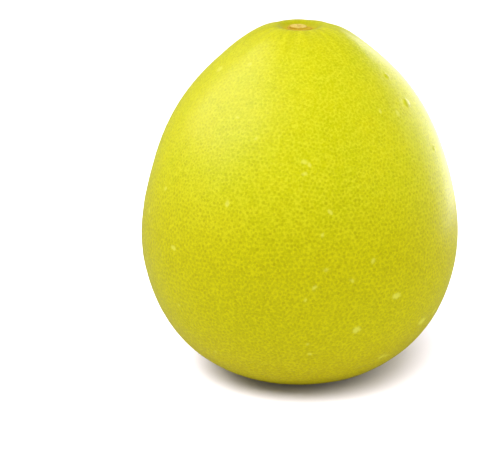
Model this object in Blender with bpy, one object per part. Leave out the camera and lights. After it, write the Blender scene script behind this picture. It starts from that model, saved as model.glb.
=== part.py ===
"""One whole pomelo, standing on its blossom end, with the woody button of its stalk in the crown.

Metres, +Z up. The origin is on the surface that the fruit stands on, under the middle of the fruit.
The flesh, pith and rind grew as one piece and nothing inside shows, so the fruit is one solid. The stalk
button is wood, and is a solid of its own, let into a small socket in the hollow of the crown.
"""

import math
import random

import bmesh
import bpy
import numpy as np
from mathutils import Vector, noise

# Driving dimensions
BELLY_RADIUS = 0.075
CREST_HEIGHT = 0.1673
BUTTON_RADIUS = 0.0055

# Half of the fruit's outline, from the flat foot up to the crest round the stalk hollow.
# Each point is a share of the belly radius and a share of the crest height.
FLANK = [
    (0.227, 0.000),  # edge of the flat foot
    (0.507, 0.030),  # heel
    (0.741, 0.102),
    (0.929, 0.233),
    (1.000, 0.389),  # belly, fullest at two fifths of the height
    (0.952, 0.557),
    (0.833, 0.712),  # shoulder, where the flank turns nearly straight
    (0.654, 0.838),
    (0.450, 0.928),  # neck
    (0.145, 1.000),  # crest round the hollow
]
FLANK_RINGS = 42
CREST_CROWDING = 0.6
SEGMENTS = 80

# Blossom end: a scar the size of a pea, sunk inside the flat foot
SCAR_OUTLINE = [(0.0, 0.0006), (0.0018, 0.0005), (0.0034, 0.0011), (0.0058, 0.0008), (0.0085, 0.0)]

# Stalk hollow: a shallow dish inside the crest, with the socket of the button in its floor
HOLLOW_DEPTH = 0.0017
HOLLOW_FLOOR_RADIUS = 0.0068
HOLLOW_RINGS = 4
SOCKET_RADIUS = 0.0044
SOCKET_DEPTH = 0.0027

# The fruit isn't quite round: two broad lobes and three weaker ones, in metres
TWO_LOBES, TWO_LOBES_AT = 0.00050, math.radians(45)
THREE_LOBES, THREE_LOBES_AT = 0.00035, math.radians(30)
# and its skin rises and falls a little. Both grow up from the foot and fade towards the crest,
# at these shares of the height.
UNEVENNESS, UNEVENNESS_SPAN = 0.00030, 0.030
SWELL_RISES, SWELL_FADES = 0.15, 0.90

# Shallow furrows run down the neck from the stalk, the first one a little left of the front
FURROWS = 8
FIRST_FURROW_AT = math.radians(-98)
FURROW_DRIFT = 0.25
FURROW_DEPTH, FAINTEST_FURROW = 0.00060, 0.35
FURROW_HALF_WIDTH = math.radians(9)
FURROW_START, FURROW_DEEPEST, FURROW_END = 0.0120, 0.0190, 0.0440

# Button: the cut stalk, its root in the socket, and the five blunt lobes of its calyx
GAP = 0.0003
STALK_RADIUS = SOCKET_RADIUS - GAP
CUT_RADIUS = 0.0038
CUT_HEIGHT = 0.0014
CUT_EDGE = 0.0003
PITH_RADIUS, PITH_DEPTH = 0.0008, 0.0006
CALYX_LOBES = 5
CALYX_LOBE_DEPTH = 0.10
CALYX_THICKNESS, CALYX_EDGE = 0.0006, 0.0002
STALK_LEAN = -0.0008
BUTTON_SEGMENTS = 40

RIND_COLOUR = (0.62, 0.60, 0.02, 1)
BUTTON_COLOUR = (0.62, 0.40, 0.14, 1)
SEED = 11


def clear_scene():
    for thing in list(bpy.data.objects):
        bpy.data.objects.remove(thing)


def plain_material(name, colour, roughness):
    material = bpy.data.materials.new(name)
    material.use_nodes = True
    surface = material.node_tree.nodes["Principled BSDF"]
    surface.inputs["Base Color"].default_value = colour
    surface.inputs["Roughness"].default_value = roughness
    surface.inputs["Metallic"].default_value = 0.0
    return material


def smooth_through(points, count, crowding):
    """count places along the smooth curve through points, level where it starts and where it ends.

    With crowding above 0 the places stand closer together towards the end.
    """
    knots = np.array(points, float)
    spans = np.linalg.norm(np.diff(knots, axis=0), axis=1)
    slopes = np.diff(knots, axis=0) / spans[:, None]
    last = len(knots) - 1
    rows, aims = np.eye(last + 1), np.zeros((last + 1, 2))
    aims[0], aims[last] = (1, 0), (-1, 0)
    for i in range(1, last):
        before, after = spans[i - 1], spans[i]
        rows[i, i - 1 : i + 2] = after, 2 * (before + after), before
        aims[i] = 3 * (after * slopes[i - 1] + before * slopes[i])
    headings = np.linalg.solve(rows, aims)
    reach = np.concatenate([[0], np.cumsum(spans)])
    places = []
    for share in np.linspace(0, 1, count):
        distance = reach[-1] * share * (1 + crowding * (1 - share))
        i = min(int(np.searchsorted(reach, distance, side="right")) - 1, last - 1)
        u, span = (distance - reach[i]) / spans[i], spans[i]
        place = knots[i] * (1 + 2 * u) * (1 - u) ** 2 + knots[i + 1] * (3 - 2 * u) * u**2
        place += span * u * (1 - u) * (headings[i] * (1 - u) - headings[i + 1] * u)
        places.append((float(place[0]), float(place[1])))
    return places


def ease(value):
    """0 below 0, 1 above 1, and a smooth rise between."""
    share = min(max(value, 0.0), 1.0)
    return share * share * (3 - 2 * share)


def fruit_outline():
    """Half of the fruit's section as (radius, height), from the blossom scar up and over into the socket."""
    flank = [(across * BELLY_RADIUS, up * CREST_HEIGHT) for across, up in FLANK]
    outline = SCAR_OUTLINE + smooth_through(flank, FLANK_RINGS, CREST_CROWDING)
    crest_radius = flank[-1][0]
    floor = CREST_HEIGHT - HOLLOW_DEPTH
    for ring in range(1, HOLLOW_RINGS + 1):
        share = ring / HOLLOW_RINGS
        radius = crest_radius + (HOLLOW_FLOOR_RADIUS - crest_radius) * share
        outline.append((radius, CREST_HEIGHT - HOLLOW_DEPTH * ease(share)))
    outline.append((SOCKET_RADIUS, floor))
    outline.append((SOCKET_RADIUS, floor - SOCKET_DEPTH))
    outline.append((0.0, floor - SOCKET_DEPTH))
    return outline


def turned_mesh(outline, segments):
    """A bmesh with outline turned once round the Z axis."""
    turned = bmesh.new()
    points = [turned.verts.new((radius, 0, height)) for radius, height in outline]
    lines = [turned.edges.new(pair) for pair in zip(points, points[1:])]
    bmesh.ops.spin(
        turned, geom=points + lines, cent=(0, 0, 0), axis=(0, 0, 1), angle=2 * math.pi, steps=segments
    )
    bmesh.ops.remove_doubles(turned, verts=turned.verts, dist=1e-6)
    bmesh.ops.recalc_face_normals(turned, faces=turned.faces)
    return turned


def solid_from(turned, name, material, sharp_angle):
    mesh = bpy.data.meshes.new(name)
    turned.to_mesh(mesh)
    turned.free()
    mesh.shade_smooth()
    mesh.set_sharp_from_angle(angle=sharp_angle)
    mesh.materials.append(material)
    solid = bpy.data.objects.new(name, mesh)
    bpy.context.scene.collection.objects.link(solid)
    return solid


def furrow_places():
    """The bearing and the depth of each furrow on the neck, unevenly spread."""
    draw = random.Random(SEED)
    places = [(FIRST_FURROW_AT, FURROW_DEPTH)]
    for i in range(1, FURROWS):
        turn = (i + draw.uniform(-FURROW_DRIFT, FURROW_DRIFT)) / FURROWS
        depth = FURROW_DEPTH * draw.uniform(FAINTEST_FURROW, 1.0)
        places.append((FIRST_FURROW_AT + 2 * math.pi * turn, depth))
    return places


def furrow_at(bearing, radius, furrows):
    """How deep the neck is furrowed at this bearing and distance from the axis."""
    along = ease((radius - FURROW_START) / (FURROW_DEEPEST - FURROW_START))
    along *= 1 - ease((radius - FURROW_DEEPEST) / (FURROW_END - FURROW_DEEPEST))
    depth = 0.0
    for centre, deepest in furrows:
        apart = math.remainder(bearing - centre, 2 * math.pi) / FURROW_HALF_WIDTH
        depth += deepest * math.exp(-apart * apart)
    return depth * along


def swell_at(bearing, place):
    """How far the flank stands out from a true round at this place."""
    lobes = TWO_LOBES * math.cos(2 * (bearing - TWO_LOBES_AT))
    lobes += THREE_LOBES * math.cos(3 * (bearing - THREE_LOBES_AT))
    return lobes + UNEVENNESS * noise.noise(place / UNEVENNESS_SPAN)


def shape_flank(turned):
    """Gives the turned fruit its lobes and furrows. The foot and the stalk hollow stay true."""
    furrows = furrow_places()
    for point in turned.verts:
        place = point.co.copy()
        radius, bearing = math.hypot(place.x, place.y), math.atan2(place.y, place.x)
        if radius < FURROW_START or place.z <= 0:
            continue
        share = place.z / CREST_HEIGHT
        held = ease(share / SWELL_RISES) * (1 - ease((share - SWELL_FADES) / (1 - SWELL_FADES)))
        outward = Vector((math.cos(bearing), math.sin(bearing), 0))
        point.co += outward * swell_at(bearing, place) * held
        if share > 0.5:
            point.co.z -= furrow_at(bearing, radius, furrows)


def make_fruit():
    turned = turned_mesh(fruit_outline(), SEGMENTS)
    shape_flank(turned)
    rind = plain_material("rind", RIND_COLOUR, 0.4)
    return solid_from(turned, "pomelo_fruit", rind, math.radians(50))


def button_outline():
    """Half of the button's section, measured up from the floor of the stalk hollow."""
    calyx_top = GAP + CALYX_THICKNESS
    return [
        (0.0, GAP - SOCKET_DEPTH),
        (STALK_RADIUS, GAP - SOCKET_DEPTH),
        (STALK_RADIUS, GAP),
        (BUTTON_RADIUS, GAP),
        (BUTTON_RADIUS, calyx_top - CALYX_EDGE),
        (BUTTON_RADIUS - 3 * CALYX_EDGE, calyx_top),
        (CUT_RADIUS + CUT_EDGE, calyx_top),
        (CUT_RADIUS, CUT_HEIGHT - CUT_EDGE),
        (CUT_RADIUS - 2 * CUT_EDGE, CUT_HEIGHT),
        (2 * PITH_RADIUS, CUT_HEIGHT - PITH_DEPTH / 2),
        (PITH_RADIUS, CUT_HEIGHT - PITH_DEPTH),
        (0.0, CUT_HEIGHT - PITH_DEPTH),
    ]


def shape_button(turned):
    """Draws the calyx out into its lobes and leans the cut stalk to one side."""
    for point in turned.verts:
        radius, bearing = math.hypot(point.co.x, point.co.y), math.atan2(point.co.y, point.co.x)
        if radius > STALK_RADIUS + 1e-6:
            lobe = 1 + CALYX_LOBE_DEPTH * math.cos(CALYX_LOBES * bearing)
            point.co.x *= lobe
            point.co.y *= lobe
        if point.co.z > GAP:
            point.co.x += STALK_LEAN * (point.co.z - GAP) / (CUT_HEIGHT - GAP)


def make_stem_button():
    turned = turned_mesh(button_outline(), BUTTON_SEGMENTS)
    shape_button(turned)
    wood = plain_material("stalk_wood", BUTTON_COLOUR, 0.8)
    button = solid_from(turned, "stem_button", wood, math.radians(40))
    button.location.z = CREST_HEIGHT - HOLLOW_DEPTH
    return button


def centre_over_origin(pieces):
    """Hangs the pieces on one empty, moved so that the fruit's box is centred over the origin."""
    corners = [vertex.co for vertex in pieces[0].data.vertices]
    middle_x = (min(c.x for c in corners) + max(c.x for c in corners)) / 2
    middle_y = (min(c.y for c in corners) + max(c.y for c in corners)) / 2
    stand = bpy.data.objects.new("stand", None)
    bpy.context.scene.collection.objects.link(stand)
    stand.location = (-middle_x, -middle_y, 0)
    for piece in pieces:
        piece.parent = stand


clear_scene()
centre_over_origin([make_fruit(), make_stem_button()])
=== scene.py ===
# %% [markdown]
# # A whole pomelo
#
# The subject is one ripe pomelo standing on its blossom end: a big citrus fruit, fullest low down,
# narrowing to a blunt neck, with the cut stalk sunk in a small hollow at the very top. Its skin is thin
# and waxy, yellow-green, and full of tiny oil glands that show as darker dots about 2.4 mm apart.
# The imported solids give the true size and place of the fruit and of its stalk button. This script
# dresses them: a finely dimpled rind, a splintery stalk button, their finishes, light and a camera.

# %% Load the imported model
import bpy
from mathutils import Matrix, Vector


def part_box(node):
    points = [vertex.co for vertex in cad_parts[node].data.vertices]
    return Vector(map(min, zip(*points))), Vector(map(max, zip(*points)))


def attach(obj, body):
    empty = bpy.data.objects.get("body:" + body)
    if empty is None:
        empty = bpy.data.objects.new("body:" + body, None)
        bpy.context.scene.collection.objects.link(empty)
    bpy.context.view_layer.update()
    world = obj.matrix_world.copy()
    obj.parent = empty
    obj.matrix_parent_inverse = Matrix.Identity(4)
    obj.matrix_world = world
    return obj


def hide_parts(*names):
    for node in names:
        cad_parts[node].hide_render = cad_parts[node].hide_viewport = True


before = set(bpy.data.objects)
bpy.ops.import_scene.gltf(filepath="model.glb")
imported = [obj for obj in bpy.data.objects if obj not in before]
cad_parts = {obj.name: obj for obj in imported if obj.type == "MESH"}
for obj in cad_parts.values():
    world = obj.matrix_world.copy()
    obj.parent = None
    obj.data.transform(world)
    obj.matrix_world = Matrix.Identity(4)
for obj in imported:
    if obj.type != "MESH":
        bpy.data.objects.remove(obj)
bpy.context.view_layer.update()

# %% Modules
import math

import bmesh
import bpy
import numpy as np
from mathutils import Quaternion, Vector, noise

# %% [markdown]
# ## Sizes
#
# Everything below is worked out from the two solids. We could type the sizes in again, but then a
# change to the solids would leave the dressing behind, so we read them from the frame instead.

# %% Sizes from the solids
fruit_low, fruit_high = [Vector(corner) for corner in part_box("pomelo_fruit")]
button_low, button_high = [Vector(corner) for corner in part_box("stem_button")]
HEIGHT = fruit_high.z
BELLY_RADIUS = (fruit_high.x - fruit_low.x) / 2
MM = 0.001
print(f"fruit {2 * BELLY_RADIUS / MM:.1f} mm across, {HEIGHT / MM:.1f} mm tall")

# %% Where the stalk stands
HOLLOW_REACH = 0.006
BELOW_CREST, BELOW_SOCKET = 1.2 * MM, 1.0 * MM
socket_floor = min(v.co.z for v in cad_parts["stem_button"].data.vertices)
socket_wall = [
    v.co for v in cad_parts["pomelo_fruit"].data.vertices
    if socket_floor - BELOW_SOCKET < v.co.z < HEIGHT - BELOW_CREST and v.co.xy.length < HOLLOW_REACH
]
STALK_AT = sum(socket_wall, Vector()) / len(socket_wall)
HOLLOW_FLOOR = max(point.z for point in socket_wall)
print(f"stalk at {STALK_AT.x / MM:.2f}, {STALK_AT.y / MM:.2f} mm, hollow floor {HOLLOW_FLOOR / MM:.2f} mm")

# %% [markdown]
# ## Camera
#
# The photograph looks a little down on the fruit with a long lens, and the fruit stands right of the
# middle of the picture. A shifted lens would frame that too, but the shift would stay on in every
# other view. So the camera stands where it should and is turned aside by the few degrees that put the
# fruit's middle on its pixel.

# %% Camera
PICTURE_WIDTH, PICTURE_HEIGHT = 500, 452
LOOK_AT = Vector((0, 0, 0.080))
LOOK_AT_PIXEL = (299.5, 206.8)
LOOK_DOWN = math.radians(18)
CAMERA_DISTANCE = 0.885
LENS_MM, SENSOR_MM = 135, 36

camera = bpy.data.objects.new("camera", bpy.data.cameras.new("camera"))
bpy.context.scene.collection.objects.link(camera)
bpy.context.scene.camera = camera
camera.data.lens = LENS_MM
camera.data.sensor_width = SENSOR_MM
backwards = Vector((0, -math.cos(LOOK_DOWN), math.sin(LOOK_DOWN)))
camera.location = LOOK_AT + backwards * CAMERA_DISTANCE
pixels_per_unit = PICTURE_WIDTH * LENS_MM / SENSOR_MM
pan = math.atan((LOOK_AT_PIXEL[0] - PICTURE_WIDTH / 2) / pixels_per_unit)
tilt = math.atan((LOOK_AT_PIXEL[1] - PICTURE_HEIGHT / 2) / pixels_per_unit)
straight = (-backwards).to_track_quat("-Z", "Y")
camera.rotation_mode = "QUATERNION"
camera.rotation_quaternion = straight @ Quaternion((0, 1, 0), pan) @ Quaternion((1, 0, 0), tilt)
print(f"camera turned {math.degrees(pan):.2f} degrees aside and {math.degrees(tilt):.2f} degrees in tilt")

# %% [markdown]
# ## Hands for modelling
#
# Modelling by operators means: pick an object, go into edit mode, select faces, do something, come out.
# These helpers do the picking. Everything is deselected first, because an operator acts on all that is
# selected. A modifier is applied as soon as it is set up, so that the next step finds the final mesh.

# %% Picking and selecting
def pick(thing):
    bpy.ops.object.select_all(action="DESELECT")
    thing.select_set(True)
    bpy.context.view_layer.objects.active = thing


def edit(thing):
    pick(thing)
    bpy.ops.object.mode_set(mode="EDIT")
    bpy.ops.mesh.select_mode(type="FACE")


def leave_edit():
    bpy.ops.object.mode_set(mode="OBJECT")


def select_faces(thing, wanted):
    """In edit mode, selects the faces whose middle satisfies wanted."""
    bpy.ops.mesh.select_all(action="DESELECT")
    editing = bmesh.from_edit_mesh(thing.data)
    chosen = [face for face in editing.faces if wanted(face.calc_center_median())]
    for face in chosen:
        face.select_set(True)
    bmesh.update_edit_mesh(thing.data)
    return len(chosen)


def finish_with(thing, name, kind, **settings):
    """Adds a modifier with these settings and applies it."""
    modifier = thing.modifiers.new(name, kind)
    for setting, value in settings.items():
        setattr(modifier, setting, value)
    pick(thing)
    bpy.ops.object.modifier_apply(modifier=modifier.name)


# %% [markdown]
# ## The fruit's smooth form
#
# The solid of the fruit has flat facets, as every solid for measuring and colliding has. The rind needs
# the smooth surface that they stand for. We take a copy, join its loose triangles into four-sided faces
# and subdivide them: subdivision surfaces round a four-sided net evenly, while triangles would pucker.
# The stalk's socket is closed first, because the button hides it and nothing should show through.

# %% Smooth form
smooth_form = bpy.data.objects.new("smooth_form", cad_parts["pomelo_fruit"].data.copy())
bpy.context.scene.collection.objects.link(smooth_form)
edit(smooth_form)
bpy.ops.mesh.select_all(action="SELECT")
bpy.ops.mesh.remove_doubles(threshold=0.01 * MM)
bpy.ops.mesh.tris_convert_to_quads()
SOCKET_MARGIN = 0.1 * MM
socket_top = HOLLOW_FLOOR - SOCKET_MARGIN
gone = select_faces(
    smooth_form,
    lambda middle: HEIGHT / 2 < middle.z < socket_top and middle.xy.length < HOLLOW_REACH,
)
bpy.ops.mesh.delete(type="FACE")
bpy.ops.mesh.select_mode(type="EDGE")
bpy.ops.mesh.select_non_manifold()
bpy.ops.mesh.edge_face_add()
leave_edit()
finish_with(smooth_form, "round", "SUBSURF", levels=2, render_levels=2)
print("socket faces closed:", gone, "smooth form faces:", len(smooth_form.data.polygons))

# %% [markdown]
# ## The rind, one gland at a time
#
# Each oil gland on a pomelo is a small round dot with a shallow dimple over it, and no two neighbours
# are quite alike. A cell texture could draw dots, but they come out uneven where the skin cuts the
# cells at random depths, and they leave the mesh itself smooth. Here the mesh carries them: we spread
# points evenly over a ball, one for each gland, shake them so that they lose their order, and wrap the
# ball on the smooth form. The dimples are then real, and the finish can draw each dot round its point.
# SHAKE is a share of the gland spacing. Evening out pulls apart the points that the shaking left too
# close together. Every edge is halved at the end, which puts a point between each two glands.

# %% Spread the glands over a ball
GLAND_SPACING = 2.3 * MM
BALL_SUBDIVISIONS, BALL_CUTS = 4, 4
SHAKE = 0.75
SHAKE_SEED = 5
EVEN_OUT, EVEN_ROUNDS = 0.5, 2

bpy.ops.object.select_all(action="DESELECT")
bpy.ops.mesh.primitive_ico_sphere_add(
    subdivisions=BALL_SUBDIVISIONS, radius=BELLY_RADIUS, location=(0, 0, HEIGHT / 2)
)
rind = bpy.context.object
rind.name = "pomelo_rind"
edit(rind)
bpy.ops.mesh.select_all(action="SELECT")
bpy.ops.mesh.subdivide(number_cuts=BALL_CUTS)
leave_edit()
finish_with(rind, "ball", "CAST", factor=1.0, cast_type="SPHERE", size=BELLY_RADIUS)
edit(rind)
bpy.ops.mesh.select_all(action="SELECT")
bpy.ops.transform.vertex_random(offset=SHAKE * GLAND_SPACING, seed=SHAKE_SEED)
for evening in range(EVEN_ROUNDS):
    bpy.ops.mesh.beautify_fill()
    bpy.ops.mesh.vertices_smooth(factor=EVEN_OUT)
bpy.ops.mesh.beautify_fill()
leave_edit()
GLANDS = len(rind.data.vertices)
print("glands:", GLANDS)

# %% Wrap the ball on the fruit
rind.scale = (1, 1, HEIGHT / 2 / BELLY_RADIUS)
pick(rind)
bpy.ops.object.transform_apply(location=True, rotation=True, scale=True)
edit(rind)
bpy.ops.mesh.select_all(action="SELECT")
bpy.ops.mesh.subdivide(number_cuts=1)
leave_edit()
finish_with(rind, "wrap", "SHRINKWRAP", target=smooth_form, wrap_method="NEAREST_SURFACEPOINT")
print("rind triangles:", len(rind.data.polygons))

# %% [markdown]
# ## A map round every gland
#
# The finish has to know how far each spot is from the middle of its gland. We give the mesh its own
# map, `gland_place`: in each small triangle that touches a gland's point, the map holds the distance
# from that point, in millimetres, laid out flat. A second map, `gland_traits`, holds two numbers
# for each gland, its size and how dark it is. Triangles between glands get a place far away. Each
# gland's own point comes first in the mesh, because subdividing only adds points after them.

# %% Gland maps
FAR_AWAY = 9.0
TRAIT_SEED = 21
SIZE_SPREAD, SMALLEST, LARGEST = 0.24, 0.35, 1.7
PALEST, DARKEST = 0.35, 1.0


def mesh_places(mesh):
    places = np.empty(3 * len(mesh.vertices), np.float32)
    mesh.vertices.foreach_get("co", places)
    return places.reshape(-1, 3).astype(float)


def gland_sizes(draw, glands):
    return np.clip(draw.normal(1.0, SIZE_SPREAD, glands), SMALLEST, LARGEST)


def gland_maps(mesh, glands):
    """For each corner of each triangle: its place round its gland in mm, and that gland's traits."""
    corners = np.empty(len(mesh.loops), np.int32)
    mesh.loops.foreach_get("vertex_index", corners)
    triangles = corners.reshape(-1, 3)
    places = mesh_places(mesh) / MM
    draw = np.random.default_rng(TRAIT_SEED)
    traits = np.stack([gland_sizes(draw, glands), draw.uniform(PALEST, DARKEST, glands)], axis=1)
    place_map = np.full((len(triangles), 3, 2), FAR_AWAY)
    trait_map = np.ones((len(triangles), 3, 2))
    for first in range(3):
        mine = triangles[:, first] < glands
        second, third = (first + 1) % 3, (first + 2) % 3
        middle = places[triangles[mine, first]]
        one = places[triangles[mine, second]] - middle
        other = places[triangles[mine, third]] - middle
        one_long = np.linalg.norm(one, axis=1)
        along = (one * other).sum(1) / one_long
        across = np.sqrt(np.maximum((other * other).sum(1) - along**2, 0))
        place_map[mine, first] = 0
        place_map[mine, second] = np.stack([one_long, np.zeros_like(one_long)], axis=1)
        place_map[mine, third] = np.stack([along, across], axis=1)
        trait_map[mine] = traits[triangles[mine, first]][:, None, :]
    return place_map, trait_map


gland_place, gland_traits = gland_maps(rind.data, GLANDS)
for old_map in list(rind.data.uv_layers):
    rind.data.uv_layers.remove(old_map)
for map_name, numbers in [("gland_place", gland_place), ("gland_traits", gland_traits)]:
    new_map = rind.data.uv_layers.new(name=map_name)
    new_map.uv.foreach_set("vector", numbers.ravel().astype(np.float32))
near = gland_place[gland_place[:, 0, 0] < FAR_AWAY]
print(f"neighbouring glands are {np.linalg.norm(near, axis=2).sum(1).mean():.2f} mm apart on average")

# %% [markdown]
# ## The crown, a few blisters and pale spots
#
# The stalk hollow is only 20 mm across. Here and there the skin carries a small raised blister, a few
# millimetres wide, that catches the light, and pale spots. All of these need a finer net before it is
# wrapped once more. Subdividing keeps the maps, which is why it comes after them. The blisters, and the
# spots on the side that the camera sees, are placed one by one, and more spots are strewn over the rest
# by seeded draws. Bearings are in degrees, 0 towards the camera and 90 on its right.

# %% Where the blisters and the spots are
# bearing, and height, width and rise in mm
BLISTERS = [
    (70, 146.9, 3.4, 0.32), (69, 135.4, 5.0, 0.42), (73, 114.2, 3.2, 0.28),
    (-112, 128.0, 3.6, 0.30), (166, 98.0, 4.2, 0.34), (-150, 61.0, 3.0, 0.26),
]
# bearing, height, length and width in mm, slant in degrees, and strength
SPOTS = [
    (36, 57.6, 5.0, 3.2, 0, 0.8), (21, 43.9, 4.6, 3.6, 30, 0.8), (56, 37.2, 5.6, 3.6, 0, 1.0),
    (5, 66.9, 4.0, 2.6, 60, 0.5), (9, 74.9, 3.4, 2.4, 20, 0.5), (18, 68.9, 2.8, 2.0, -30, 0.6),
    (39, 22.9, 5.0, 3.0, 35, 0.8), (42, 22.5, 3.4, 2.2, 50, 0.7), (4, 32.5, 3.2, 2.2, 0, 0.5),
    (3, 38.4, 3.0, 2.0, 40, 0.5), (2, 61.3, 2.8, 1.8, 70, 0.5), (2, 120.4, 3.4, 2.2, -15, 0.8),
    (4, 119.2, 2.8, 1.8, -60, 0.8), (2, 115.7, 3.0, 1.8, 10, 0.7), (11, 99.7, 3.2, 1.6, -45, 0.9),
    (8, 90.2, 2.8, 1.7, 70, 0.6), (26, 76.5, 3.6, 2.4, 60, 0.6), (44.5, 136.4, 3.8, 1.8, 80, 0.7),
    (56, 133.7, 5.6, 2.2, 85, 1.0), (66, 137.0, 4.0, 2.0, 75, 0.9), (66, 38.4, 4.8, 2.8, 30, 1.0),
]
MORE_SPOTS, SPOT_SEED = 60, 14
# length in mm, width as a share of it, slant and strength
SPOT_LEAST, SPOT_MOST = (2.2, 0.5, 0, 0.4), (4.2, 0.9, 180, 1.0)
BY_HAND_FROM, BY_HAND_TO = -15, 80


def skin_place(bearing, height_mm):
    """The place on the skin at this bearing and height."""
    turn = math.radians(bearing)
    outward = Vector((math.sin(turn), -math.cos(turn), 0))
    reached, place, normal, face = smooth_form.ray_cast(Vector((0, 0, height_mm * MM)), outward)
    return place


def lay_spot(bearing, height_mm, long_mm, wide_mm, slant, strength):
    """A spot's place, the way it runs over the skin, its two half widths and its strength."""
    turn, lean = math.radians(bearing), math.radians(slant)
    run = Vector((math.cos(turn), math.sin(turn), 0)) * math.cos(lean) + Vector((0, 0, math.sin(lean)))
    return skin_place(bearing, height_mm), run, long_mm / 2 * MM, wide_mm / 2 * MM, strength


blisters = [(skin_place(b, h), across * MM, rise * MM) for b, h, across, rise in BLISTERS]
spots = [lay_spot(*numbers) for numbers in SPOTS]
spot_draw = np.random.default_rng(SPOT_SEED)
for index in spot_draw.choice(GLANDS, MORE_SPOTS, replace=False):
    place = rind.data.vertices[index].co
    bearing = math.degrees(math.atan2(place.x, -place.y))
    long_mm, share, slant, strength = spot_draw.uniform(SPOT_LEAST, SPOT_MOST)
    if bearing > BY_HAND_TO or bearing < BY_HAND_FROM:
        spots.append(lay_spot(bearing, place.z / MM, long_mm, long_mm * share, slant, strength))
print("blisters:", len(blisters), "spots:", len(spots))

# %% Finer net round the stalk, the blisters and the spots
CROWN_REACH = 0.017
ROUND_BLISTER, ROUND_SPOT = 0.75, 1.5


def wants_detail(middle):
    on_crown = middle.z > HEIGHT / 2 and (middle - STALK_AT).xy.length < CROWN_REACH
    on_blister = any((middle - place).length < ROUND_BLISTER * across for place, across, rise in blisters)
    on_spot = any((middle - spot[0]).length < ROUND_SPOT * spot[2] for spot in spots)
    return on_crown or on_blister or on_spot


edit(rind)
fine_faces = select_faces(rind, wants_detail)
bpy.ops.mesh.subdivide(number_cuts=1)
leave_edit()
finish_with(rind, "wrap", "SHRINKWRAP", target=smooth_form, wrap_method="NEAREST_SURFACEPOINT")
print("finer faces:", fine_faces, "rind triangles:", sum(len(f.vertices) - 2 for f in rind.data.polygons))

# %% [markdown]
# ## Dimples, dents and an uneven skin
#
# Now the points can move. Each gland sinks by about 0.07 mm, more where it is large. The skin rises
# and falls a little between, as it does over pith that grew unevenly, here and there is a shallow dent
# where the fruit lay against a branch or another fruit, and the blisters rise as low lenses. The foot
# stays flat, because the fruit stands on it. SWELLS gives the span of each swell in metres and its
# height.

# %% Work the skin
DIMPLE = 0.07 * MM
SWELLS = [(0.022, 0.16 * MM), (0.009, 0.07 * MM), (0.0045, 0.03 * MM)]
DENTS, DENT_SEED = 46, 8
DENT_DEPTH, DENT_LONG, DENT_WIDE = 0.22 * MM, 3.2 * MM, 1.5 * MM
DENT_SIZES, DENT_REACH = (0.5, 1.3), 4 * DENT_LONG
BLISTER_FULLNESS = 0.75
FOOT_HEIGHT = 0.010


def ease(value):
    """From 0 to 1 as value goes from 0 to 1, slow at both ends."""
    share = min(max(value, 0.0), 1.0)
    return share * share * (3 - 2 * share)


def dent_places(mesh):
    """Seeded places for the dents on the skin, each with the direction that it runs in."""
    draw = np.random.default_rng(DENT_SEED)
    chosen = draw.choice(len(mesh.vertices), DENTS, replace=False)
    dents = []
    for index in chosen:
        normal = mesh.vertices[index].normal
        run = Vector(draw.normal(size=3)).cross(normal).normalized()
        dents.append((mesh.vertices[index].co.copy(), run, draw.uniform(*DENT_SIZES)))
    return dents


def dent_at(place, dents):
    """How deep the dents are here: each is a soft oval, deepest in its middle."""
    depth = 0.0
    for middle, run, size in dents:
        apart = place - middle
        if apart.length > DENT_REACH:
            continue
        along = apart.dot(run) / (DENT_LONG * size)
        across = math.sqrt(max(apart.length_squared - apart.dot(run) ** 2, 0)) / (DENT_WIDE * size)
        depth += DENT_DEPTH * size * math.exp(-along * along - across * across)
    return depth


def swell_at(place):
    return sum(height * noise.noise(place / span) for span, height in SWELLS)


def blister_at(place):
    """How far a blister raises the skin here, as a share of its full rise, and that rise."""
    for middle, across, rise in blisters:
        share = 1 - (2 * (place - middle).length / across) ** 2
        if share > 0:
            return share**BLISTER_FULLNESS, rise
    return 0.0, 0.0


gland_size = gland_sizes(np.random.default_rng(TRAIT_SEED), GLANDS)
dents = dent_places(rind.data)
moves, blistered = [], []
for vertex in rind.data.vertices:
    held = ease(vertex.co.z / FOOT_HEIGHT)
    raised, rise = blister_at(vertex.co)
    depth = dent_at(vertex.co, dents) - swell_at(vertex.co) - raised * rise
    if vertex.index < GLANDS:
        depth += DIMPLE * gland_size[vertex.index] * (1 - raised)
    moves.append(vertex.normal * (-depth * held))
    blistered.append(raised)
print("deepest move:", round(max(m.length for m in moves) / MM, 2), "mm")

# %% [markdown]
# ### Pale spots
#
# The spots are a matter of colour alone: each point of the mesh only remembers how pale it is, in an
# attribute that the finish reads. A spot fades from its middle outwards, faster across than along. The
# points move only now, when all that was measured on the even skin is known.

# %% Paint the spots and blisters on the points
CLEARLY_PALE = 0.3


def paint(mesh, name, values):
    mesh.attributes.new(name, "FLOAT", "POINT").data.foreach_set("value", np.asarray(values, np.float32))


places = mesh_places(rind.data)
paleness = np.zeros(len(places))
for middle, run, half_long, half_wide, strength in spots:
    apart = places - np.array(middle)
    along = apart @ np.array(run)
    across = np.sqrt(np.maximum((apart * apart).sum(1) - along**2, 0))
    fading = np.exp(-((along / half_long) ** 2) - (across / half_wide) ** 2)
    paleness = np.maximum(paleness, strength * fading)
paint(rind.data, "paleness", paleness)
paint(rind.data, "blister", blistered)
for vertex, move in zip(rind.data.vertices, moves):
    vertex.co += move
bpy.data.objects.remove(smooth_form)
rind.data.shade_smooth()
pale_points, raised_points = int((paleness > CLEARLY_PALE).sum()), sum(b > 0 for b in blistered)
print("points in pale spots:", pale_points, "in blisters:", raised_points)

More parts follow.
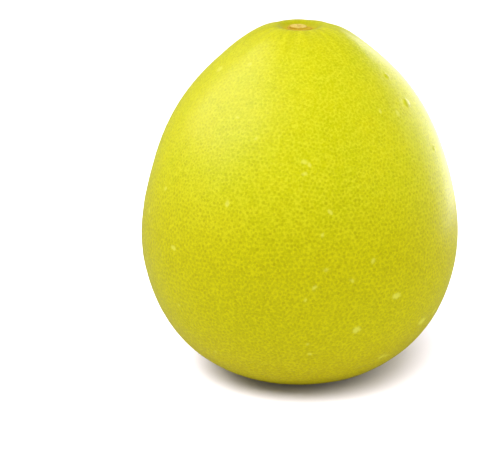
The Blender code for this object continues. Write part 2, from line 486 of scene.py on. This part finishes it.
# %% [markdown]
# ## The stalk button
#
# Where the fruit was cut from the tree a disc of wood is left, with the five worn lobes of the calyx
# round it. It is modelled by hand from one round face: up for the calyx, in and up for the stalk, then
# in again for the cut. It starts a little below the floor of the hollow, so that it grows out of it.
# Each inset is given as its width and its rise.

# %% Button: rings from one face
BUTTON_SIDES = 64
CALYX_RADIUS = 5.5 * MM
CALYX_RISE = 0.8 * MM
STALK_RADIUS = 3.9 * MM
CUT_RISE = button_high.z - HOLLOW_FLOOR
SUNK = 0.3 * MM
CALYX_SIDE = 0.6 * CALYX_RISE
CALYX_LIP, CALYX_TOP, GROOVE = (0.35 * MM, 0.25 * MM), (0.65 * MM, 0.05 * MM), (0.45 * MM, -0.15 * MM)
CUT_EDGE = 0.25 * MM, 0.2 * MM
INSET_RISES = sum(rise for width, rise in (CALYX_LIP, CALYX_TOP, GROOVE, CUT_EDGE))
CUT_RINGS, CUT_RING = 6, 0.5 * MM


def extrude_up(height):
    bpy.ops.mesh.extrude_region_move(TRANSFORM_OT_translate={"value": (0, 0, height)})


def inset(width, rise=0.0):
    bpy.ops.mesh.inset(thickness=width, depth=rise)


bpy.ops.object.select_all(action="DESELECT")
bpy.ops.mesh.primitive_circle_add(
    vertices=BUTTON_SIDES, radius=CALYX_RADIUS, fill_type="NGON",
    location=(STALK_AT.x, STALK_AT.y, HOLLOW_FLOOR - SUNK),
)
button = bpy.context.object
button.name = "stalk_button"
edit(button)
bpy.ops.mesh.select_all(action="SELECT")
extrude_up(CALYX_SIDE)
for step in (CALYX_LIP, CALYX_TOP, GROOVE):
    inset(*step)
extrude_up(CUT_RISE - CALYX_SIDE + SUNK - INSET_RISES)
inset(*CUT_EDGE)
for ring in range(CUT_RINGS):
    inset(CUT_RING)
leave_edit()
finish_with(button, "round", "SUBSURF", levels=2, render_levels=2)
pick(button)
bpy.ops.object.transform_apply(location=True, rotation=True, scale=True)
print("button faces:", len(button.data.polygons))

# %% Button: lobes, lean and splinters
CALYX_LOBES, LOBE_DEPTH, LOBE_RAGGED, LOBE_NOISE = 5, 0.10, 0.05, 6
LEAN = -0.8 * MM
SPLINTER, RAY_SHARE, GRAIN_SHARE = 0.16 * MM, 1.1, 0.5
RAY_NOISE, RAY_SPAN, GRAIN_SPAN = 3.5, 4 * MM, 0.6 * MM
PITH_RADIUS, PITH_DEPTH = 0.9 * MM, 0.35 * MM
KNOBBLE, KNOBBLE_SPAN = 0.06 * MM, 0.5 * MM
CUT_FROM, CUT_WITHIN, CUT_FADE = 0.6 * CUT_RISE, 0.8 * STALK_RADIUS, 0.4 * STALK_RADIUS


def work_button(vertex):
    """Lobes on the calyx, a lean to the cut, rays and a sunk pith on its face."""
    apart = vertex.co - STALK_AT
    radius, turn = apart.xy.length, math.atan2(apart.y, apart.x)
    height = vertex.co.z - HOLLOW_FLOOR
    if radius > STALK_RADIUS:
        outside = ease((radius - STALK_RADIUS) / (CALYX_RADIUS - STALK_RADIUS))
        ragged = LOBE_RAGGED * noise.noise(Vector((math.cos(turn), math.sin(turn), 7)) * LOBE_NOISE)
        vertex.co.xy += apart.xy * outside * (LOBE_DEPTH * math.cos(CALYX_LOBES * turn) + ragged)
    if height > 0:
        vertex.co.x += LEAN * min(height / CUT_RISE, 1)
    inside = 1 - ease((radius - CUT_WITHIN) / CUT_FADE)
    ray = noise.noise(Vector((math.cos(turn), math.sin(turn), radius / RAY_SPAN)) * RAY_NOISE)
    grain = noise.noise(vertex.co / GRAIN_SPAN)
    if height > CUT_FROM:
        vertex.co.z += SPLINTER * inside * (RAY_SHARE * ray + GRAIN_SHARE * grain)
        vertex.co.z -= PITH_DEPTH * math.exp(-((radius / PITH_RADIUS) ** 2))
    if height > -SUNK / 2:
        vertex.co += apart.normalized() * KNOBBLE * noise.noise(vertex.co / KNOBBLE_SPAN)


for vertex in button.data.vertices:
    work_button(vertex)
button_top = max(v.co.z for v in button.data.vertices)
button.data.shade_smooth()
print(f"button top {button_top / MM:.2f} mm, {(button_top - HOLLOW_FLOOR) / MM:.2f} mm over its hollow")

# %% [markdown]
# ## Finishes: a few helpers for nodes
#
# A finish is a small network. These helpers add a node, set what it needs and wire it, so that each
# finish below reads as a list of decisions.

# %% Node helpers
def new_node(tree, kind, **settings):
    node = tree.nodes.new(kind)
    for setting, value in settings.items():
        setattr(node, setting, value)
    return node


def feed(tree, socket, value):
    """Sets a socket to a plain value, or wires another socket to it."""
    if isinstance(value, bpy.types.NodeSocket):
        tree.links.new(value, socket)
    else:
        socket.default_value = value


def calc(tree, operation, *values):
    node = new_node(tree, "ShaderNodeMath", operation=operation)
    for socket, value in zip(node.inputs, values):
        feed(tree, socket, value)
    return node.outputs[0]


def blend(tree, share, before, after):
    """A colour that goes from before to after as share goes from 0 to 1."""
    node = new_node(tree, "ShaderNodeMix", data_type="RGBA")
    feed(tree, node.inputs["Factor"], share)
    feed(tree, node.inputs[6], before)
    feed(tree, node.inputs[7], after)
    return node.outputs[2]


def ramp(tree, value, low, high, start=0.0, end=1.0):
    """start below low, end above high, and a smooth change between."""
    node = new_node(tree, "ShaderNodeMapRange", interpolation_type="SMOOTHSTEP")
    names = "Value", "From Min", "From Max", "To Min", "To Max"
    for name, number in zip(names, (value, low, high, start, end)):
        feed(tree, node.inputs[name], number)
    return node.outputs[0]


def noise_at(tree, place, scale, detail=2.0, roughness=0.5):
    node = new_node(tree, "ShaderNodeTexNoise")
    feed(tree, node.inputs["Vector"], place)
    node.inputs["Scale"].default_value = scale
    node.inputs["Detail"].default_value = detail
    node.inputs["Roughness"].default_value = roughness
    return node.outputs[0]


def height_of(tree, place):
    """How high this place is, in metres."""
    node = new_node(tree, "ShaderNodeSeparateXYZ")
    tree.links.new(place, node.inputs[0])
    return node.outputs["Z"]


def add_bump(tree, surface, relief, strength, depth):
    bump = new_node(tree, "ShaderNodeBump")
    bump.inputs["Strength"].default_value = strength
    bump.inputs["Distance"].default_value = depth
    tree.links.new(relief, bump.inputs["Height"])
    tree.links.new(bump.outputs[0], surface.inputs["Normal"])


def colour(red, green, blue):
    """A linear colour from the 0 to 255 values that a screen shows."""
    def linear(part):
        share = part / 255
        return share / 12.92 if share <= 0.04045 else ((share + 0.055) / 1.055) ** 2.4
    return (linear(red), linear(green), linear(blue), 1.0)


# %% [markdown]
# ### Two effects that the finishes share
#
# Mottle is the slow drift of tone that every grown surface has, and a sheet of paper too. Rays are fine
# streaks that run out from the stalk: fibres on the cut wood, faint green lines on the neck. Both are
# groups, made once and placed in each material with its own numbers.

# %% Groups
MOTTLE_CONTRAST, MOTTLE_DETAIL = (0.32, 0.68), 3
RAY_CONTRAST, RAY_DETAIL = (0.35, 0.65), 3.0


def new_group(name, numbers, outputs):
    group = bpy.data.node_groups.new(name, "ShaderNodeTree")
    for socket, value in numbers.items():
        made = group.interface.new_socket(socket, in_out="INPUT", socket_type="NodeSocketFloat")
        made.default_value = value
    for socket in outputs:
        group.interface.new_socket(socket, in_out="OUTPUT", socket_type="NodeSocketFloat")
    return group, group.nodes.new("NodeGroupInput"), group.nodes.new("NodeGroupOutput")


def make_mottle():
    """Tone: 0 to 1, drifting over Span metres, with Fine metres of finer drift in it."""
    group, given, result = new_group("mottle", {"Span": 0.03, "Fine": 0.006, "Fine Share": 0.35}, ["Tone"])
    place = new_node(group, "ShaderNodeTexCoord").outputs["Object"]
    broad, fine = [new_node(group, "ShaderNodeTexNoise") for _ in range(2)]
    for node, span in [(broad, "Span"), (fine, "Fine")]:
        group.links.new(place, node.inputs["Vector"])
        group.links.new(calc(group, "DIVIDE", 1.0, given.outputs[span]), node.inputs["Scale"])
        node.inputs["Detail"].default_value = MOTTLE_DETAIL
    mixed = new_node(group, "ShaderNodeMix", data_type="FLOAT")
    feed(group, mixed.inputs[0], given.outputs["Fine Share"])
    feed(group, mixed.inputs[2], broad.outputs[0])
    feed(group, mixed.inputs[3], fine.outputs[0])
    group.links.new(ramp(group, mixed.outputs[0], *MOTTLE_CONTRAST), result.inputs["Tone"])
    return group


def make_rays():
    """Rays: 0 to 1, streaks out from the stalk. Radius: distance from the stalk's axis, in metres."""
    group, given, result = new_group("rays", {"Fineness": 6.0, "Twist": 0.0}, ["Rays", "Radius"])
    place = new_node(group, "ShaderNodeTexCoord").outputs["Object"]
    moved = new_node(group, "ShaderNodeMapping", vector_type="POINT")
    group.links.new(place, moved.inputs["Vector"])
    moved.inputs["Location"].default_value = (-STALK_AT.x, -STALK_AT.y, 0)
    moved.inputs["Scale"].default_value = (1, 1, 0)
    length = new_node(group, "ShaderNodeVectorMath", operation="LENGTH")
    group.links.new(moved.outputs[0], length.inputs[0])
    outward = new_node(group, "ShaderNodeVectorMath", operation="NORMALIZE")
    group.links.new(moved.outputs[0], outward.inputs[0])
    scaled = new_node(group, "ShaderNodeVectorMath", operation="SCALE")
    group.links.new(outward.outputs[0], scaled.inputs[0])
    group.links.new(given.outputs["Fineness"], scaled.inputs["Scale"])
    lifted = new_node(group, "ShaderNodeCombineXYZ")
    twist = calc(group, "MULTIPLY", length.outputs["Value"], given.outputs["Twist"])
    group.links.new(twist, lifted.inputs["Z"])
    where = new_node(group, "ShaderNodeVectorMath", operation="ADD")
    group.links.new(scaled.outputs[0], where.inputs[0])
    group.links.new(lifted.outputs[0], where.inputs[1])
    streaks = noise_at(group, where.outputs[0], 1.0, RAY_DETAIL)
    group.links.new(ramp(group, streaks, *RAY_CONTRAST), result.inputs["Rays"])
    group.links.new(length.outputs["Value"], result.inputs["Radius"])
    return group


MOTTLE, RAYS = make_mottle(), make_rays()
print("shared effects:", MOTTLE.name, RAYS.name)


# %% A group in a finish, and a new finish
def use_group(tree, group, **numbers):
    node = new_node(tree, "ShaderNodeGroup", node_tree=group)
    for name, value in numbers.items():
        node.inputs[name.replace("_", " ")].default_value = value
    return node


def new_finish(name):
    """A material with a Principled shader, its nodes and the shader."""
    material = bpy.data.materials.new(name)
    material.use_nodes = True
    return material, material.node_tree, material.node_tree.nodes["Principled BSDF"]


# %% [markdown]
# ## The rind's finish
#
# The colour is laid on in layers: a yellow-green ground that drifts between two tones, darkened to olive
# on the lower belly as painted shade, and golden at the foot, partly a warmer blossom end and partly
# painted warm shade; pale and dark grain on it, which take warmer copies on the lower part as painted
# shade, and a pale network between the glands; faint green rays down the neck; a dark dot in every
# gland, fainter towards the crown; pale spots and greener blisters; and last an ochre stain round the
# stalk, a darker green on the walls of its hollow as painted shade, and a corky scar below.
# The skin is waxy but not polished, so its gloss is soft and only shows where light grazes it. Light
# also goes a little way into it, which softens the edge of every shadow.
#
# A SHARE says how strongly a layer covers what is under it. The pair of numbers before it says between
# which heights, radii or noise values the layer comes and goes. Lengths are in metres, but the dots
# follow the gland map, which is in millimetres, and a noise of 1000 has details about 1 mm wide.

# %% Rind colours
SUNNY, LEAFY = colour(224, 219, 4), colour(211, 213, 2)
# The olive is painted shade on the lower belly; the gold is partly a warmer blossom end and partly painted
# warm shade.
LOWER_SHADE_OLIVE, FOOT_GOLD_AND_SHADE = colour(196, 188, 0), colour(206, 184, 0)
# In this pair and the next, the second colour is the copy used on the lower part, warmer and, for the pale
# grain, darker: painted shade.
GRAIN_PALE, LOWER_SHADE_PALE = colour(240, 238, 52), colour(234, 227, 10)
GLAND_DARK, LOWER_SHADE_DARK = colour(168, 164, 0), colour(178, 162, 0)
SPOT_PALE, BLISTER_GREEN = colour(246, 244, 96), colour(186, 190, 0)
# The hollow green is painted shade in the stalk hollow; the ochre is the stain round the stalk.
HOLLOW_SHADE_GREEN, OCHRE = colour(180, 178, 0), colour(214, 188, 16)
SCAR_BROWN, SCAR_CORK = colour(140, 110, 46), colour(196, 168, 92)

# %% Rind: dots, and what lies between them
DOT_RADIUS, DOT_SOFTNESS, DOT_RAGGED, DOT_NOISE = 0.50, 0.32, 0.90, 1200.0
BETWEEN = 0.60, 0.95


def gland_dots(tree, place):
    """Dots: 1 in the middle of a gland, 0 outside it, weaker in a pale gland. Then what lies between."""
    trait = new_node(tree, "ShaderNodeSeparateXYZ")
    tree.links.new(new_node(tree, "ShaderNodeUVMap", uv_map="gland_traits").outputs[0], trait.inputs[0])
    length = new_node(tree, "ShaderNodeVectorMath", operation="LENGTH")
    tree.links.new(new_node(tree, "ShaderNodeUVMap", uv_map="gland_place").outputs[0], length.inputs[0])
    wobble = calc(tree, "SUBTRACT", noise_at(tree, place, DOT_NOISE), 0.5)
    distance = calc(tree, "MULTIPLY_ADD", wobble, DOT_RAGGED, length.outputs["Value"])
    radius = calc(tree, "MULTIPLY", trait.outputs["X"], DOT_RADIUS)
    inner = calc(tree, "SUBTRACT", radius, DOT_SOFTNESS)
    outer = calc(tree, "ADD", radius, DOT_SOFTNESS)
    dots = calc(tree, "MULTIPLY", ramp(tree, distance, inner, outer, 1.0, 0.0), trait.outputs["Y"])
    return dots, ramp(tree, distance, *BETWEEN)


# %% Rind: what the points remember
EDGE_NOISE, EDGE_DETAIL, EDGE_RAGGED, EDGE = 750.0, 3.0, 0.5, (0.12, 0.66)


def point_value(tree, place, name):
    """What the points of the mesh remember under this name, with an edge roughened by noise."""
    value = new_node(tree, "ShaderNodeAttribute", attribute_name=name).outputs["Fac"]
    wobble = calc(tree, "SUBTRACT", noise_at(tree, place, EDGE_NOISE, EDGE_DETAIL), 0.5)
    return ramp(tree, calc(tree, "MULTIPLY_ADD", wobble, EDGE_RAGGED, value), *EDGE)


# %% Rind: the ground and its grain
# Below these heights the ground turns olive and its grain takes the lower copies, which is painted shade;
# towards the foot it turns golden, partly a warmer blossom end and partly painted warm shade.
LOWER_SHADE_SPAN, LOWER_SHADE_SHARE = (0.42 * HEIGHT, 0.72 * HEIGHT), 0.75
FOOT_GOLD_AND_SHADE_SPAN, FOOT_GOLD_AND_SHADE_SHARE = (0.02 * HEIGHT, 0.30 * HEIGHT), 0.8
NETWORK_NOISE, NETWORK, NETWORK_SHARE = 800.0, (0.42, 0.62), 0.48
# a noise, from which value of it to which, the shares at the two, and the tone that is laid on
GRAIN_LAYERS = [
    ("grain", 0.48, 0.68, 0.0, 0.60, "pale"), ("grain", 0.28, 0.42, 0.36, 0.0, "dark"),
    ("blotch", 0.30, 0.50, 0.10, 0.0, "dark"), ("blotch", 0.50, 0.70, 0.0, 0.12, "pale"),
]


def rind_ground(tree, place, height, patches, between, noises):
    """The skin without its dots, and the dark tone that its dots have at this height."""
    # low is 1 on the lower part of the fruit, where the olive and the lower grain tones paint shade.
    low = ramp(tree, height, *LOWER_SHADE_SPAN, 1.0, 0.0)
    tones = {
        "pale": blend(tree, low, GRAIN_PALE, LOWER_SHADE_PALE),
        "dark": blend(tree, low, GLAND_DARK, LOWER_SHADE_DARK),
    }
    ground = blend(tree, patches, LEAFY, SUNNY)
    ground = blend(tree, calc(tree, "MULTIPLY", low, LOWER_SHADE_SHARE), ground, LOWER_SHADE_OLIVE)
    ground = blend(tree, ramp(tree, height, *FOOT_GOLD_AND_SHADE_SPAN, FOOT_GOLD_AND_SHADE_SHARE, 0.0), ground, FOOT_GOLD_AND_SHADE)
    for kind, low_value, high_value, start, end, tone in GRAIN_LAYERS:
        share = ramp(tree, noises[kind], low_value, high_value, start, end)
        ground = blend(tree, share, ground, tones[tone])
    network = ramp(tree, noise_at(tree, place, NETWORK_NOISE), *NETWORK)
    network = calc(tree, "MULTIPLY", calc(tree, "MULTIPLY", between, network), NETWORK_SHARE)
    return blend(tree, network, ground, tones["pale"]), tones["dark"]


# %% Rind: neck, dots, spots and blisters
NECK, NECK_SHARE = (0.011, 0.034), 0.35
DOTS_FADE, DOTS_SHARE = (0.50 * HEIGHT, 0.92 * HEIGHT), (0.44, 0.13)
DOTS_FOOT, DOTS_FOOT_SHARE = (0.0, 0.45 * HEIGHT), (0.50, 1.0)
SPOT_SHARE, BLISTER_SHARE = 0.62, 0.3


def rind_marks(tree, skin, dark, height, crown, streaks, dots, spots, blister):
    """Green rays down the neck, then the dots, the pale spots and the blisters."""
    neck = calc(tree, "MULTIPLY", ramp(tree, streaks.outputs["Radius"], *NECK, 1.0, 0.0), crown)
    lines = calc(tree, "MULTIPLY", neck, streaks.outputs["Rays"])
    skin = blend(tree, calc(tree, "MULTIPLY", lines, NECK_SHARE), skin, GLAND_DARK)
    strength = ramp(tree, height, *DOTS_FADE, *DOTS_SHARE)
    strength = calc(tree, "MULTIPLY", strength, ramp(tree, height, *DOTS_FOOT, *DOTS_FOOT_SHARE))
    skin = blend(tree, calc(tree, "MULTIPLY", dots, strength), skin, dark)
    skin = blend(tree, calc(tree, "MULTIPLY", spots, SPOT_SHARE), skin, SPOT_PALE)
    return blend(tree, calc(tree, "MULTIPLY", blister, BLISTER_SHARE), skin, BLISTER_GREEN)


# %% Rind: the stain round the stalk and the blossom scar
STAIN, STAIN_SHARE = (0.0055, 0.0092), 0.9
# The green ring is painted shade: a darker green on the walls and rim of the stalk hollow.
HOLLOW_SHADE_RING, HOLLOW_SHADE_SHARE = (0.0085, 0.0130), 0.6
SCAR, SCAR_SHARE, SCAR_RAGGED, SCAR_TOP = (0.004, 0.008), 0.9, 0.008, (0.002, 0.004)
CORK = 0.42, 0.62


def rind_ends(tree, skin, height, crown, radius, noises):
    """The stain at the top and the scar below; and where the stain is, which the gloss follows."""
    stain = calc(tree, "MULTIPLY", ramp(tree, radius, *STAIN, STAIN_SHARE, 0.0), crown)
    # green is the painted shade in the stalk hollow.
    green = calc(tree, "MULTIPLY", ramp(tree, radius, *HOLLOW_SHADE_RING, HOLLOW_SHADE_SHARE, 0.0), crown)
    skin = blend(tree, stain, blend(tree, green, skin, HOLLOW_SHADE_GREEN), OCHRE)
    wobble = calc(tree, "SUBTRACT", noises["blotch"], 0.5)
    scar = ramp(tree, calc(tree, "MULTIPLY_ADD", wobble, SCAR_RAGGED, radius), *SCAR, SCAR_SHARE, 0.0)
    scar = calc(tree, "MULTIPLY", scar, ramp(tree, height, *SCAR_TOP, 1.0, 0.0))
    cork = blend(tree, ramp(tree, noises["grain"], *CORK), SCAR_BROWN, SCAR_CORK)
    return blend(tree, scar, skin, cork), stain


# %% Rind: the whole finish
CROWN = 0.5 * HEIGHT, 0.8 * HEIGHT
RIND_ROUGHNESS = 0.35
RIND_BUMP, RIND_BUMP_DEPTH, GRAIN_RELIEF = 0.5, 0.00008, 0.35


def make_rind_finish():
    material, tree, surface = new_finish("rind")
    place = new_node(tree, "ShaderNodeTexCoord").outputs["Object"]
    height = height_of(tree, place)
    crown = ramp(tree, height, *CROWN)
    patches = use_group(tree, MOTTLE, Span=0.035, Fine=0.007, Fine_Share=0.35).outputs["Tone"]
    streaks = use_group(tree, RAYS, Fineness=5.0, Twist=20.0)
    noises = {"grain": noise_at(tree, place, 1400.0, 3.0, 0.6), "blotch": noise_at(tree, place, 300.0)}
    dots, between = gland_dots(tree, place)
    spots, blister = point_value(tree, place, "paleness"), point_value(tree, place, "blister")

    skin, dark = rind_ground(tree, place, height, patches, between, noises)
    skin = rind_marks(tree, skin, dark, height, crown, streaks, dots, spots, blister)
    skin, stain = rind_ends(tree, skin, height, crown, streaks.outputs["Radius"], noises)
    tree.links.new(skin, surface.inputs["Base Color"])

    roughness = RIND_ROUGHNESS
    rougher = [(patches, 0.05), (spots, 0.15), (stain, 0.4), (blister, -0.15), (dots, -0.05)]
    for mask, change in rougher:
        roughness = calc(tree, "MULTIPLY_ADD", mask, change, roughness)
    tree.links.new(roughness, surface.inputs["Roughness"])
    relief = calc(tree, "SUBTRACT", calc(tree, "MULTIPLY", noises["grain"], GRAIN_RELIEF), dots)
    add_bump(tree, surface, relief, RIND_BUMP, RIND_BUMP_DEPTH)
    surface.inputs["Specular IOR Level"].default_value = 0.09
    surface.inputs["Subsurface Weight"].default_value = 0.12
    surface.inputs["Subsurface Radius"].default_value = (1.0, 0.8, 0.15)
    surface.inputs["Subsurface Scale"].default_value = 0.003
    return material


rind.data.materials.clear()
rind.data.materials.append(make_rind_finish())
print("rind finish:", len(rind.data.materials[0].node_tree.nodes), "nodes")

# %% [markdown]
# ## The stalk button's finish
#
# Dry cut wood is pale tan, darker where the rays open into cracks and in the pith, and the calyx and
# the stalk's side are olive brown. It is rough all over and has no wax.

# %% Stalk finish
TAN, TAN_DEEP = colour(248, 228, 116), colour(216, 172, 60)
CALYX_OLIVE, BARK = colour(218, 184, 18), colour(200, 160, 28)
RAY_TINT, TONE_TINT = 0.7, 0.3
PITH, PITH_SHARE = (0.0006, 0.0013), 0.6
WOOD_EDGE, WOOD_RAGGED = (0.0040, 0.0048), 0.0008
STALK_SIDE = HOLLOW_FLOOR + 0.6 * CUT_RISE, HOLLOW_FLOOR + 0.85 * CUT_RISE
FIBRE, FIBRE_ROUGHNESS = (0.3, 0.7), (0.7, 0.9)
WOOD_BUMP, WOOD_BUMP_DEPTH = 0.8, 0.00012


def make_stalk_finish():
    material, tree, surface = new_finish("stalk_wood")
    place = new_node(tree, "ShaderNodeTexCoord").outputs["Object"]
    streaks = use_group(tree, RAYS, Fineness=2.6, Twist=300.0)
    rays, radius = streaks.outputs["Rays"], streaks.outputs["Radius"]
    tone = use_group(tree, MOTTLE, Span=0.003, Fine=0.0008, Fine_Share=0.5).outputs["Tone"]
    fibre = noise_at(tree, place, 2500.0, 4.0, 0.6)
    wood = blend(tree, calc(tree, "MULTIPLY", rays, RAY_TINT), TAN, TAN_DEEP)
    wood = blend(tree, calc(tree, "MULTIPLY", tone, TONE_TINT), wood, TAN_DEEP)
    wood = blend(tree, ramp(tree, radius, *PITH, PITH_SHARE, 0.0), wood, BARK)
    calyx = blend(tree, tone, CALYX_OLIVE, BARK)
    outside = ramp(tree, calc(tree, "MULTIPLY_ADD", fibre, WOOD_RAGGED, radius), *WOOD_EDGE)
    side = ramp(tree, height_of(tree, place), *STALK_SIDE, 1.0, 0.0)
    outside = calc(tree, "MAXIMUM", outside, side)
    tree.links.new(blend(tree, outside, wood, calyx), surface.inputs["Base Color"])
    tree.links.new(ramp(tree, fibre, *FIBRE, *FIBRE_ROUGHNESS), surface.inputs["Roughness"])
    add_bump(tree, surface, calc(tree, "ADD", fibre, rays), WOOD_BUMP, WOOD_BUMP_DEPTH)
    surface.inputs["Specular IOR Level"].default_value = 0.25
    return material


button.data.materials.clear()
button.data.materials.append(make_stalk_finish())
print("stalk finish:", len(button.data.materials[0].node_tree.nodes), "nodes")

# %% [markdown]
# ## Into the frame
#
# Both pieces go with the only body and take the place of their solids.

# %% Ride and replace
for piece, solid, finish in [(rind, "pomelo_fruit", "rind"), (button, "stem_button", "stalk_wood")]:
    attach(piece, "root")
    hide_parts(solid)
print("pieces:", rind.name, button.name)

# %% [markdown]
# ## The paper
#
# The fruit stands on a plain white sheet, a disc small enough to be lit to full white right to its far
# edge, so that it melts into the white behind it. A sheet this bright would throw much more light on
# the fruit than the photograph shows. So the Light Path node lets the camera see the white sheet, while
# light that bounces off it and what is mirrored of it meet a grey one.

# %% Floor
PAPER_RADIUS = 1.2
PAPER_LIGHT, PAPER_DARK = (0.92, 0.88, 0.97, 1), (0.90, 0.86, 0.95, 1)
PAPER_MIRRORED, PAPER_BOUNCED = (0.17, 0.17, 0.17, 1), (0.28, 0.28, 0.28, 1)

bpy.ops.object.select_all(action="DESELECT")
bpy.ops.mesh.primitive_circle_add(vertices=128, radius=PAPER_RADIUS, fill_type="NGON", location=(0, 0, 0))
paper = bpy.context.object
paper.name = "paper"
paper_finish, paper_tree, paper_surface = new_finish("paper")
paper_tone = use_group(paper_tree, MOTTLE, Span=0.4, Fine=0.05, Fine_Share=0.3).outputs["Tone"]
paper_white = blend(paper_tree, paper_tone, PAPER_DARK, PAPER_LIGHT)
paper_path = new_node(paper_tree, "ShaderNodeLightPath").outputs
paper_grey = blend(paper_tree, paper_path["Is Diffuse Ray"], PAPER_MIRRORED, PAPER_BOUNCED)
paper_seen = blend(paper_tree, paper_path["Is Camera Ray"], paper_grey, paper_white)
paper_tree.links.new(paper_seen, paper_surface.inputs["Base Color"])
paper_surface.inputs["Roughness"].default_value = 0.9
paper_surface.inputs["Specular IOR Level"].default_value = 0.1
paper.data.materials.append(paper_finish)
print(f"paper: a disc {2 * PAPER_RADIUS:.1f} m across")

# %% [markdown]
# ## Light
#
# A softbox does two things: it lights a surface, and it is mirrored in it as a highlight. A photograph
# is easier to match when the two can be set apart, so each lamp here may do both, or only one of them.
#
# The key stands high on the left and does both. The sheen, wide and further round, only shines: it
# lays the broad soft highlight on the upper left. The front lamp and the back lamp only light, and keep
# the right and the far side from going dull. The panel stands close behind the fruit on the right and
# only shines, which draws the pale band down that edge; its glow lights the skin a little there. The
# overhead lamp reaches nothing but the paper, by light linking: it whitens the sheet, and its size and
# place give the shadow its soft edge and its lean to the right.

# %% Lights
FRUIT_MIDDLE = Vector((0, 0, HEIGHT / 2))


def softbox(name, bearing, rise, distance, width, tall, watts, lights=True, shines=True):
    """An area light that faces the fruit. Bearing 0 is behind the camera and 90 on the right.

    One that lights brightens a surface, and one that shines is mirrored in it.
    """
    light = bpy.data.lights.new(name, "AREA")
    light.shape = "RECTANGLE"
    light.size, light.size_y = width, tall
    light.energy = watts
    lamp = bpy.data.objects.new(name, light)
    bpy.context.scene.collection.objects.link(lamp)
    turn, up = math.radians(bearing), math.radians(rise)
    towards = Vector((math.sin(turn) * math.cos(up), -math.cos(turn) * math.cos(up), math.sin(up)))
    lamp.location = FRUIT_MIDDLE + towards * distance
    lamp.rotation_mode = "QUATERNION"
    lamp.rotation_quaternion = (-towards).to_track_quat("-Z", "Y")
    lamp.visible_camera = False
    lamp.visible_diffuse, lamp.visible_glossy = lights, shines
    return lamp


softbox("key", bearing=-61, rise=58, distance=1.1, width=1.0, tall=0.9, watts=7.2)
softbox("sheen", bearing=-92, rise=42, distance=1.1, width=1.3, tall=0.9, watts=26, lights=False)
softbox("front", bearing=66, rise=28, distance=1.4, width=1.2, tall=0.9, watts=4.0, shines=False)
softbox("panel", bearing=137, rise=6, distance=0.34, width=0.32, tall=0.29, watts=1.1, lights=False)
softbox("panel glow", bearing=112, rise=-4, distance=0.34, width=0.32, tall=0.15, watts=0.12, shines=False)
softbox("back", bearing=176, rise=8, distance=1.2, width=1.0, tall=0.8, watts=3.5, shines=False)

overhead = softbox("overhead", bearing=-18, rise=62, distance=1.2, width=1.8, tall=1.2, watts=57)
on_paper = bpy.data.collections.new("lit from overhead")
on_paper.objects.link(paper)
overhead.light_linking.receiver_collection = on_paper

# %% [markdown]
# ### Surroundings
#
# The sky is a plain white studio wall on all sides. The camera sees it at full white, the fruit is lit
# by about half of that, and still less of it is mirrored in the skin. The Standard view shows colours
# as they are, where the film-like ones would turn the full white grey.

# %% Surroundings
SKY, SKY_SHINE, BACKDROP = 0.52, 0.34, 1.0
world = bpy.data.worlds.new("studio")
bpy.context.scene.world = world
world.use_nodes = True
sky = world.node_tree.nodes["Background"]
sky.inputs["Color"].default_value = (1, 1, 1, 1)
sky_path = new_node(world.node_tree, "ShaderNodeLightPath").outputs
sky_strength = calc(world.node_tree, "MULTIPLY_ADD", sky_path["Is Glossy Ray"], SKY_SHINE - SKY, SKY)
sky_strength = calc(
    world.node_tree, "MULTIPLY_ADD", sky_path["Is Camera Ray"], BACKDROP - SKY, sky_strength
)
world.node_tree.links.new(sky_strength, sky.inputs["Strength"])
bpy.context.scene.view_settings.view_transform = "Standard"
bpy.context.scene.view_settings.look = "None"
print("sky:", SKY, "as light,", SKY_SHINE, "in reflections,", BACKDROP, "to the camera")
